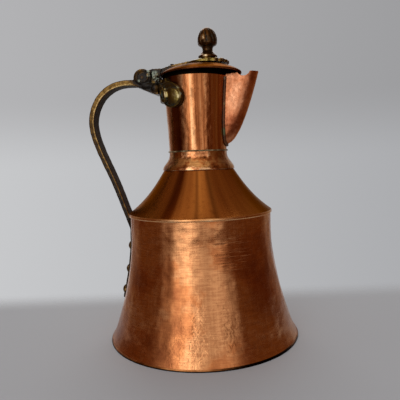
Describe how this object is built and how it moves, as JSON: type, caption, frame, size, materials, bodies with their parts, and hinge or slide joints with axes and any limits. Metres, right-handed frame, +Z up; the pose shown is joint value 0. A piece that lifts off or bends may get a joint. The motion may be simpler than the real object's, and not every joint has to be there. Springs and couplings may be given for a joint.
{
  "type": "lidded pitcher",
  "caption": "Hand-raised copper ewer with a flared foot, narrow neck, beak spout, brass strap handle and hinged domed lid.",
  "frame": {"origin": "centre of the flat underside of the base plate", "axes": "+Z up the neck, +X towards the spout, -X towards the handle"},
  "size_m": [0.223, 0.2068, 0.332],
  "materials": {
    "copper": "hammered, aged sheet copper",
    "aged_brass": "cast brass with a dark patina",
    "solder": "dull tin solder"
  },
  "bodies": {
    "vessel": {"skirt": "copper", "base_plate": "copper", "shoulder": "copper", "neck_collar": "copper", "neck_solder_ring": "solder", "neck": "copper", "spout": "copper", "spout_solder": "solder", "handle": "aged_brass", "tail_rivets": "aged_brass", "neck_saddle": "aged_brass", "saddle_bosses": "aged_brass", "hinge_pin": "aged_brass", "base_solder": "solder", "ridge_solder": "solder", "tail_burrs": "aged_brass", "saddle_burrs": "aged_brass"},
    "lid": {"lid_dome": "copper", "lid_flange": "copper", "lid_strap": "aged_brass", "finial": "aged_brass", "finial_washer": "aged_brass", "strap_rivet": "aged_brass"}
  },
  "joints": [
    {"name": "lid_hinge", "type": "hinge", "parent": "vessel", "child": "lid", "pos_m": [-0.0566, 0, 0.2822], "axis": [0, -1, 0], "range_deg": [0, 105]}
  ]
}
